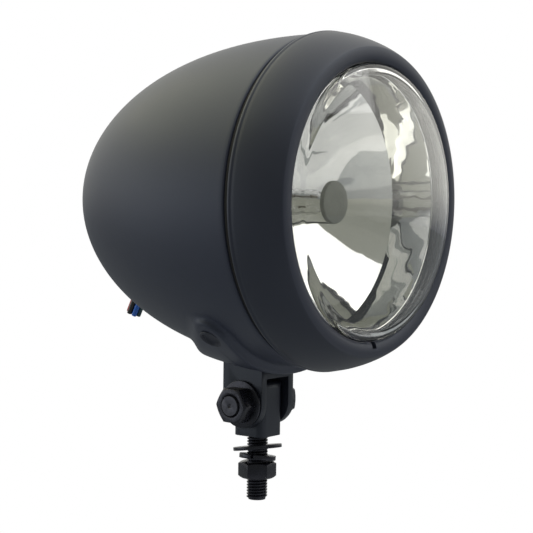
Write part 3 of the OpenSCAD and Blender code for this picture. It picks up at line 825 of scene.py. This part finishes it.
class HEADLIGHT_OT_pad(bpy.types.Operator):
    """Builds the raised three-cornered pad with its fillet and its two round plugs"""

    bl_idname = "headlight.pad"
    bl_label = "Raised pad and plugs"

    def execute(self, context):
        rise = body_sizes().pad_rise / MM / PAD_DRAWN
        foot_in, rear_in, under = PAD_STEPS[0]
        top_in, top_rear_in, top = PAD_STEPS[-1]
        foot, crown = pad_edge(foot_in, rear_in), pad_edge(top_in, top_rear_in)
        # The underside follows the shell, inside its sheet
        loops = [pad_loop(foot, under * rise, share) for share in (0.2, 0.4, 0.6, 0.8)]
        loops += [pad_loop(pad_edge(front, rear), h * rise) for front, rear, h in PAD_STEPS]
        loops += [pad_loop(crown, top * rise, share) for share in (0.8, 0.6, 0.4, 0.2)]
        bm = bmesh.new()
        rings = [line_of(bm, points, True)[len(points):] for points in loops]
        for low, high in zip(rings, rings[1:]):
            bmesh.ops.bridge_loops(bm, edges=low + high)
        for ring in (rings[0], rings[-1]):
            bmesh.ops.edgeloop_fill(bm, edges=ring)
        pad = piece("mount_pad", bm, "lamp", "body_paint", (), 60)
        # A plug's dished face with its raised rim, and the skirt in its hole
        plug = [
            (0, 2.1), (3.7, 2.15), (4.2, 2.35), (4.5, 2.9), (4.8, 3.35), (5.4, 3.5),
            (5.9, 3.3), (6.0, 2.9), (5.38, 2.6), (5.38, 0.1), (0, 0.1)]
        hole = [(0, 0), (PLUG_HOLE, 0), (PLUG_HOLE, 8), (0, 8)]
        face = shell_r(LOBE_S) + PAD_DRAWN * rise * pad_share(52, LOBE_S)
        lean = math.radians(PLUG_LEAN)
        for name, side in (("pad_plug_right", -1), ("pad_plug_left", 1)):
            out = Vector((side * -math.sin(lean), 0, -math.cos(lean)))
            depth = face - PLUG_DEPTH
            place = (out.x * depth, LIP_Y + LOBE_S, LAMP_HEIGHT + out.z * depth)
            cut_with(pad, turned_on(hole, place, out, 48, False), 50)
            bm = turned_on(rounded(plug, 0.15, 2), place, out, 64, False)
            piece(name, bm, "lamp", "plug_rubber", ("pad_plugs",))
        return {"FINISHED"}


class HEADLIGHT_OT_bezel(bpy.types.Operator):
    """Spins the deep bezel with its rolled lip, and cuts the drain notch"""

    bl_idname = "headlight.bezel"
    bl_label = "Bezel"

    def execute(self, context):
        rows = [24.2 * (i / 44) ** 1.6 for i in range(45)]
        outer = [(bezel_r(s), s) for s in rows if s < 21.8]
        # The step and the bead that the bezel ends in over the groove
        bead = [
            (82.86, 22.4), (82.9, 22.9), (83.1, 23.2), (83.27, 23.5), (83.31, 23.9),
            (83.27, 24.35), (83.1, 24.7), (82.8, 24.93), (82.4, 25.0), (82.1, 24.95),
            (81.95, 24.7), (81.9, 23.6), (81.75, 23.0)]
        inner = [(bezel_r(s) - 1.5, s) for s in rows[40:12:-3]]
        # The lip, rolled inward round the glass
        lip = [
            (71.5, 3.2), (67.9, 3.2), (67.35, 3.05), (67.05, 2.6), (67.0, 1.6), (67.1, 0.9),
            (67.5, 0.3), (68.2, -0.15), (69.1, -0.48), (70.2, -0.66), (71.4, -0.72),
            (72.6, -0.62), (73.6, -0.38), (74.2, -0.15)]
        bezel = piece(
            "bezel_skin", turned(outer + bead + inner + lip, 320), "lamp", "bezel_paint",
            ("bezel",), 45)
        notch = bmesh.new()
        size = Matrix.Diagonal((3.4 * MM, 6.4 * MM, 6.0 * MM, 1))
        bmesh.ops.create_cube(
            notch, size=1.0, matrix=Matrix.Translation(at_lamp(0, 1.0, -67.2)) @ size)
        cut_with(bezel, notch, 45)
        screw_hole = [(0, 0), (2.95, 0), (2.95, 6), (0, 6)]
        place = (0, LIP_Y + 19, LAMP_HEIGHT - 85.5)
        cut_with(bezel, turned_on(screw_hole, place, (0, 0, 1), 48, False), 45)
        return {"FINISHED"}


class HEADLIGHT_OT_glass(bpy.types.Operator):
    """Spins the domed glass with its stepped side wall"""

    bl_idname = "headlight.glass"
    bl_label = "Domed glass"

    def execute(self, context):
        front = [(62.2 * i / 40, dome_s(62.2 * i / 40)) for i in range(41)]
        # The shoulder round the dome, and the rim that the seal presses on
        shoulder = [
            (62.55, -3.42), (62.9, -3.3), (64.2, -2.75), (65.4, -2.05), (66.1, -1.3),
            (66.45, -0.4), (66.6, 0.4), (66.6, 4.0), (70.5, 4.0), (70.5, 8.0), (63.9, 8.0)]
        # Three moulded rings round the inside of the wall
        wall = [
            (63.9, 7.6), (63.5, 7.4), (63.9, 7.1), (63.9, 5.2), (63.5, 5.0), (63.9, 4.7),
            (63.9, 2.8), (63.5, 2.6), (63.9, 2.3), (63.6, 1.2), (62.9, 0.3), (61.9, -0.1)]
        back = [
            (61.4 * i / 40, dome_s(61.4 * i / 40) + GLASS_WALL) for i in range(40, -1, -1)]
        piece(
            "lens_glass", turned(front + shoulder + wall + back, 256, False), "lamp", "glass",
            ("lens",), 50)
        return {"FINISHED"}


class HEADLIGHT_OT_reflector(bpy.types.Operator):
    """Spins the mirrored bowl with its straight rim, and presses the rim's flutes"""

    bl_idname = "headlight.reflector"
    bl_label = "Mirrored bowl"

    def execute(self, context):
        l = lamp_sizes()
        rim, crease = l.rim / MM, l.crease / MM
        front = [
            (70.5, MIRROR_FLANGE), (63.5, MIRROR_FLANGE), (rim + 0.35, 8.05),
            (rim + 0.1, 8.25), (rim, 8.6)]
        wall = [(rim, 9.5 + (crease - 9.5) * i / 14) for i in range(15)]
        radii = [rim + (BULB_HOLE - rim) * i / 40 for i in range(1, 41)]
        bowl = [(r, bowl_s(r)) for r in radii]
        seat = [(BULB_HOLE, 82.0), (20.0, 82.0), (20.0, 70.2)]
        radii = [21 + (rim - 21) * i / 20 for i in range(21)]
        back = [(r + 1.28, bowl_s(r) + MIRROR_WALL) for r in radii]
        edge = [(rim + MIRROR_WALL, crease), (rim + MIRROR_WALL, 9.8), (70.5, 9.8)]
        bm = turned(front + wall + bowl + seat + back + edge, 360)
        for v in bm.verts:
            x, z, s = v.co.x / MM, v.co.z / MM - LAMP_HEIGHT, v.co.y / MM - LIP_Y
            r = math.hypot(x, z)
            if abs(r - rim) < 0.01 and 8.7 < s < crease - 0.1:
                v.co = at_lamp(0, s, 0).lerp(v.co, (r - flute_at(x, z, s)) / r)
        # At 2.6 degrees, the flutes and the crease reflect as pressed facets
        mirror = piece(
            "reflector_bowl", bm, "lamp", "mirror", ("reflector",), 2.6)
        hole = [(0, 0), (PARKING_HOLE, 0), (PARKING_HOLE, 40), (0, 40)]
        place = (PARKING_X, LIP_Y + 38, LAMP_HEIGHT + PARKING_Z)
        cut_with(mirror, turned_on(hole, place, (0, 1, 0), 64, False), 2.6)
        rolled = [(PARKING_HOLE, 0), (4.75, 0.1), (4.5, 0.5), (4.5, 6.0), (PARKING_HOLE, 6.0)]
        place = (PARKING_X, LIP_Y + 53.2, LAMP_HEIGHT + PARKING_Z)
        piece(
            "parking_hole_rim", turned_on(rolled, place, (0, 1, 0)), "lamp", "mirror",
            (), 30)
        return {"FINISHED"}


class HEADLIGHT_OT_shield(bpy.types.Operator):
    """Turns the dark cap in front of the bulb and its arm"""

    bl_idname = "headlight.shield"
    bl_label = "Bulb shield"

    def execute(self, context):
        cap = [
            (0, 23.3), (6.0, 23.35), (9.4, 23.6), (10.2, 23.95), (10.5, 24.5), (10.5, 26.0),
            (10.0, 26.0), (9.9, 24.9), (9.2, 24.5), (0, 24.4)]
        bm = turned(cap, 96, False)
        size = Matrix.Diagonal((3.0 * MM, 46.0 * MM, 0.8 * MM, 1))
        arm = bmesh.ops.create_cube(
            bm, size=1.0, matrix=Matrix.Translation(at_lamp(0, 47.6, -10.1)) @ size)
        edges = {e for v in arm["verts"] for e in v.link_edges}
        bmesh.ops.bevel(
            bm, geom=list(edges), offset=0.25 * MM, segments=2, profile=0.5, affect="EDGES",
            material=-1)
        seat = turned([(6.8, 69.6), (11.9, 69.6), (11.9, 70.6), (6.8, 70.6)], 96)
        piece(
            "bulb_shield_cap", joined(bm, seat), "lamp", "shield",
            ("bulb_shield",))
        return {"FINISHED"}


# Place of each wire in the bundle, 0 in its middle, with its colour and the node it replaces
WIRES = (
    (4, "red", "wire_red"),
    (5, "white", "wire_white"),
    (2, "blue", "wire_blue"),
    (1, "dark", "wire_dark"),
    (0, "black", "wires_black"),
    (3, "black", "wires_black"),
    (6, "black", "wires_black"),
)


class HEADLIGHT_OT_wires(bpy.types.Operator):
    """Draws each wire's cover with its copper strands at the cut end"""

    bl_idname = "headlight.wires"
    bl_label = "Wires"

    def execute(self, context):
        lean = math.radians(WIRE_LEAN)
        axis = Vector((0, math.sin(lean), -math.cos(lean)))
        across = Vector((0, math.cos(lean), math.sin(lean)))
        end = at_lamp(0, WIRE_END_S, WIRE_END_Z) / MM
        # A cover is a tube with its cut edge rounded, 34 mm up from the wires' end
        length = 34.0
        tube = [
            (0.8, length - 0.8), (0.95, length - 0.05), (1.2, length), (1.35, length - 0.15),
            (1.35, 0), (0.8, 0)]
        for n, colour, replaced in WIRES:
            turn = math.radians(60 * n + 11)
            off = WIRE_PITCH if n else 0.0
            side = Vector((off * math.cos(turn), 0, 0)) - across * off * math.sin(turn)
            place = end + side - axis * length
            finish = "wire_" + colour
            piece(
                "cover_%s_%d" % (colour, n), turned_on(tube, place, axis, 32), "lamp", finish,
                (replaced,))
            strands = bmesh.new()
            for k in range(7):
                r = 0.5 if k else 0.0
                turn = k * math.pi / 3
                shift = Vector((r * math.cos(turn), 0, 0)) + across * r * math.sin(turn)
                bmesh.ops.create_cone(
                    strands, cap_ends=True, segments=10, radius1=0.25 * MM,
                    radius2=0.22 * MM, depth=2.0 * MM,
                    matrix=set_up(place + shift + axis * (length - 1.1), axis))
            piece("strands_%d" % n, strands, "lamp", "copper")
        return {"FINISHED"}


class HEADLIGHT_OT_bracket(bpy.types.Operator):
    """Rounds the edges of the bracket and the mount block"""

    bl_idname = "headlight.bracket"
    bl_label = "Bracket and block"

    def execute(self, context):
        edge = mount_sizes().edge / MM
        piece(
            "bracket", softened("clevis_bracket", edge), "lamp", "bracket_paint",
            ("clevis_bracket",), 28)
        # The block is a casting, with softer edges than the bracket's sheet
        piece(
            "block", softened("mount_block", edge * 2.4, 30, 4), "mount", "bracket_paint",
            ("mount_block",), 28)
        return {"FINISHED"}


def threaded(radius, depth, pitch, low, high):
    """A threaded rod along Z: a tooth spun with a rise of one pitch a turn, over a core."""
    bm = bmesh.new()
    turns = int((high - low) / pitch) - 1
    flat = pitch * 0.19
    root = radius - depth
    tooth = [
        (root, low), (radius, low + pitch / 2 - flat), (radius, low + pitch / 2 + flat),
        (root, low + pitch)]
    line = line_of(bm, [Vector((r, 0, h)) * MM for r, h in tooth], False)
    made = spin(
        bm, line, (0, 0, 0), (0, 0, 1), 36 * turns, turns, pitch * turns * MM)
    for end in (line, made["geom_last"]):
        bmesh.ops.contextual_create(
            bm, geom=[v for v in end if isinstance(v, bmesh.types.BMVert)])
    bmesh.ops.remove_doubles(bm, verts=bm.verts, dist=0.002 * MM)
    bmesh.ops.holes_fill(bm, edges=[e for e in bm.edges if e.is_boundary], sides=0)
    core = [(0, low), (root - 0.1, low), (root + 0.02, low + 0.4), (root + 0.02, high), (0, high)]
    return joined(bm, upright(core, 48, False))


# Fasteners: the piece, its CAD node, body and finish, its edge rounding, its hard edges
FASTENERS = (
    ("pivot_bolt_body", "pivot_bolt", "lamp", "bolt_face", 0.25, 25),
    ("pivot_nut_body", "pivot_nut", "lamp", "black_steel", 0.2, 25),
    ("pivot_washer_pair", "pivot_washers", "lamp", "black_steel", 0.3, 35),
    ("stud_nut_body", "stud_nut", "mount", "black_steel", 0.2, 25),
    ("flat_washer_body", "flat_washer", "mount", "black_steel", 0.3, 35),
    ("spring_washer_body", "spring_washer", "mount", "black_steel", 0.2, 35),
)


class HEADLIGHT_OT_fasteners(bpy.types.Operator):
    """Dresses the pivot bolt, the nuts, the washers and the threaded stud"""

    bl_idname = "headlight.fasteners"
    bl_label = "Fasteners"

    def execute(self, context):
        m = mount_sizes()
        for name, replaced, body, finish, edge, sharp in FASTENERS:
            piece(
                name, softened(replaced, edge), body, finish, (replaced,),
                sharp)
        stud = threaded(
            THREAD_R, m.thread_depth / MM, m.thread_pitch / MM, THREAD_LOW, THREAD_HIGH)
        piece("stud_thread", stud, "mount", "black_steel", ("stud",), 25)
        return {"FINISHED"}


# The photograph's camera: where it stands from the lip's centre, in degrees and metres, where
# it looks, and its lens in mm on a 36 mm film
CAMERA_AZIMUTH = -56.8
CAMERA_HEIGHT = 0.21
CAMERA_DISTANCE = 0.7
CAMERA_PAN = -52.53
CAMERA_TILT = 2.77
CAMERA_ROLL = 0.74
CAMERA_LENS = 98.14

# Softboxes: azimuth and height in degrees, distance, width and height in m, watts and colour
SOFTBOXES = {
    "softbox_front": (18, 50, 1.7, 2.2, 1.8, 15.5, "ffffff"),
    "softbox_back": (-160, 50, 1.6, 1.9, 1.4, 11.5, "f6f0b8"),
    "softbox_side": (-138, 2, 1.7, 1.3, 0.75, 4.6, "eef1f6"),
}

# Papers that are plain white to the camera: a grey table top and two pale cards on it, in
# front of the lamp. Material, colour, centre and half size in m, and turn in degrees
PAPERS = {
    "floor": ("white_seen_grey_paper", "8a8e94", (0, 0, -0.30), (6.0, 6.0), 0),
    "near_card": (
        "white_seen_near_card", "c3c5cc", (0.1, -0.375, -0.2965), (0.62, 0.125), 0),
    "far_card": (
        "white_seen_far_card", "c3c5cc", (0.178, -1.818, -0.297), (0.9, 1.10), -25),
}


def direction(azimuth, height):
    """The way to a place at an azimuth and a height in radians; the lamp faces azimuth 0."""
    flat = math.cos(height)
    return Vector((math.sin(azimuth) * flat, -math.cos(azimuth) * flat, math.sin(height)))


def facing(right, up, back, place):
    """The matrix of a camera or a light at a place, from its three directions."""
    return Matrix.Translation(place) @ Matrix((right, up, back)).transposed().to_4x4()


class HEADLIGHT_OT_stage(bpy.types.Operator):
    """Sets the camera, the pale floor, the softboxes and the room"""

    bl_idname = "headlight.stage"
    bl_label = "Camera, floor and light"

    def execute(self, context):
        scene = context.scene
        scene.view_settings.view_transform = "Standard"
        self.camera(scene)
        for name, paper in PAPERS.items():
            self.paper(name, *paper)
        for name, box in SOFTBOXES.items():
            self.softbox(scene, name, *box)
        self.room(scene)
        return {"FINISHED"}

    def camera(self, scene):
        azimuth, height = math.radians(CAMERA_AZIMUTH), math.radians(CAMERA_HEIGHT)
        eye = at_lamp(0, 0, 0) + CAMERA_DISTANCE * direction(azimuth, height)
        pan, roll = math.radians(CAMERA_PAN), math.radians(CAMERA_ROLL)
        back = direction(pan, math.radians(CAMERA_TILT))
        level = Vector((math.cos(pan), math.sin(pan), 0))
        over = back.cross(level)
        right = level * math.cos(roll) + over * math.sin(roll)
        up = over * math.cos(roll) - level * math.sin(roll)
        data = bpy.data.cameras.new("photo_camera")
        data.sensor_width, data.lens, data.clip_start = 36.0, CAMERA_LENS, 0.02
        camera = bpy.data.objects.new("photo_camera", data)
        camera.matrix_world = facing(right, up, back, eye)
        scene.collection.objects.link(camera)
        scene.camera = camera

    def paper(self, name, material, colour, place, half, turn):
        bm = bmesh.new()
        laid = Matrix.Translation(place) @ Matrix.Rotation(math.radians(turn), 4, "Z")
        bmesh.ops.create_grid(
            bm, x_segments=1, y_segments=1, size=1.0,
            matrix=laid @ Matrix.Diagonal((half[0], half[1], 1, 1)))
        made, tree, out, _ = new_material(material)
        path = node(tree, "LightPath")
        diffuse = node(tree, "BsdfDiffuse", {"Color": srgb(colour)})
        white = node(tree, "Emission", {"Color": (1, 1, 1, 1), "Strength": 1.0})
        mix = node(tree, "MixShader", {
            0: path.outputs["Is Camera Ray"], 1: diffuse.outputs["BSDF"],
            2: white.outputs["Emission"]})
        tree.links.new(mix.outputs["Shader"], out.inputs["Surface"])
        flat = linked(name, bm)
        flat.data.materials.append(made)

    def softbox(self, scene, name, azimuth, height, distance, width, tall, power, colour):
        azimuth = math.radians(azimuth)
        back = direction(azimuth, math.radians(height))
        right = Vector((math.cos(azimuth), math.sin(azimuth), 0))
        light = bpy.data.lights.new(name, "AREA")
        light.shape, light.size, light.size_y = "RECTANGLE", width, tall
        light.energy, light.color = power, srgb(colour)[:3]
        box = bpy.data.objects.new(name, light)
        place = Vector((0, 0, 0.1)) + back * distance
        box.matrix_world = facing(right, back.cross(right), back, place)
        scene.collection.objects.link(box)

    def room(self, scene):
        world = bpy.data.worlds.new("studio")
        scene.world = world
        world.use_nodes = True
        tree = world.node_tree
        tree.nodes.clear()
        out = node(tree, "OutputWorld")
        way = node(tree, "TexCoord").outputs["Generated"]
        up = node(tree, "SeparateXYZ", {"Vector": way}).outputs["Z"]
        height = node(
            tree, "MapRange", {"Value": up, "From Min": -1.0, "From Max": 1.0})
        olive, warm, cool = srgb("8b8d84"), (1.22, 1.21, 1.14, 1.0), srgb("70757f")
        dim = node(
            tree, "ValToRGB", {"Fac": height.outputs["Result"]},
            stops=((0.0, cool), (0.45, olive), (0.86, olive), (0.95, srgb("e8e8e4"))))
        pale = node(
            tree, "ValToRGB", {"Fac": height.outputs["Result"]},
            stops=((0.0, cool), (0.46, cool), (0.51, srgb("f4f4ee")), (0.6, warm), (1.0, warm)))
        # The room's dim side is to the left of the lamp, in front
        side = node(
            tree, "VectorMath", {0: way, 1: (-0.837, -0.548, 0.0)}, operation="DOT_PRODUCT")
        dark = node(tree, "MapRange", {
            "Value": side.outputs["Value"], "From Min": -0.25, "From Max": 0.1})
        walls = node(tree, "MixRGB", {
            "Fac": dark.outputs["Result"], "Color1": pale.outputs["Color"],
            "Color2": dim.outputs["Color"]})
        # Plain white straight behind the lamp, and straight through its glass
        path = node(tree, "LightPath")
        straight = node(
            tree, "Math", {0: path.outputs["Glossy Depth"], 1: 0.5}, operation="LESS_THAN")
        through = node(
            tree, "Math",
            {0: path.outputs["Is Transmission Ray"], 1: straight.outputs["Value"]},
            operation="MULTIPLY")
        seen = node(
            tree, "Math", {0: path.outputs["Is Camera Ray"], 1: through.outputs["Value"]},
            operation="MAXIMUM")
        white = node(tree, "MixRGB", {
            "Fac": seen.outputs["Value"], "Color1": walls.outputs["Color"],
            "Color2": (1.0, 1.0, 1.0, 1.0)})
        sky = node(tree, "Background", {"Color": white.outputs["Color"], "Strength": 1.0})
        tree.links.new(sky.outputs["Background"], out.inputs["Surface"])


STEPS = (
    HEADLIGHT_OT_kept_nodes,
    HEADLIGHT_OT_shell,
    HEADLIGHT_OT_pad,
    HEADLIGHT_OT_bezel,
    HEADLIGHT_OT_glass,
    HEADLIGHT_OT_reflector,
    HEADLIGHT_OT_shield,
    HEADLIGHT_OT_wires,
    HEADLIGHT_OT_bracket,
    HEADLIGHT_OT_fasteners,
    HEADLIGHT_OT_stage,
)
GROUPS = {
    "headlight_body": BodySizes,
    "headlight_lamp": LampSizes,
    "headlight_mount": MountSizes,
}


class HEADLIGHT_PT_steps(bpy.types.Panel):
    """Lists the sizes and colours, and the steps that build the headlight"""

    bl_idname = "HEADLIGHT_PT_steps"
    bl_label = "Round headlight"
    bl_space_type = "VIEW_3D"
    bl_region_type = "UI"
    bl_category = "Headlight"

    def draw(self, context):
        for group in GROUPS:
            sizes = getattr(context.scene, group)
            for key in sizes.bl_rna.properties.keys():
                if key not in ("rna_type", "name"):
                    self.layout.prop(sizes, key)
        for step in STEPS:
            self.layout.operator(step.bl_idname)


def register():
    for cls in (*GROUPS.values(), *STEPS, HEADLIGHT_PT_steps):
        bpy.utils.register_class(cls)
    for key, group in GROUPS.items():
        setattr(bpy.types.Scene, key, bpy.props.PointerProperty(type=group))


def unregister():
    for key in GROUPS:
        delattr(bpy.types.Scene, key)
    for cls in (HEADLIGHT_PT_steps, *reversed(STEPS), *reversed(GROUPS.values())):
        bpy.utils.unregister_class(cls)


def main():
    register()
    for step in STEPS:
        group, name = step.bl_idname.split(".")
        getattr(getattr(bpy.ops, group), name)()


if __name__ == "__main__":
    main()
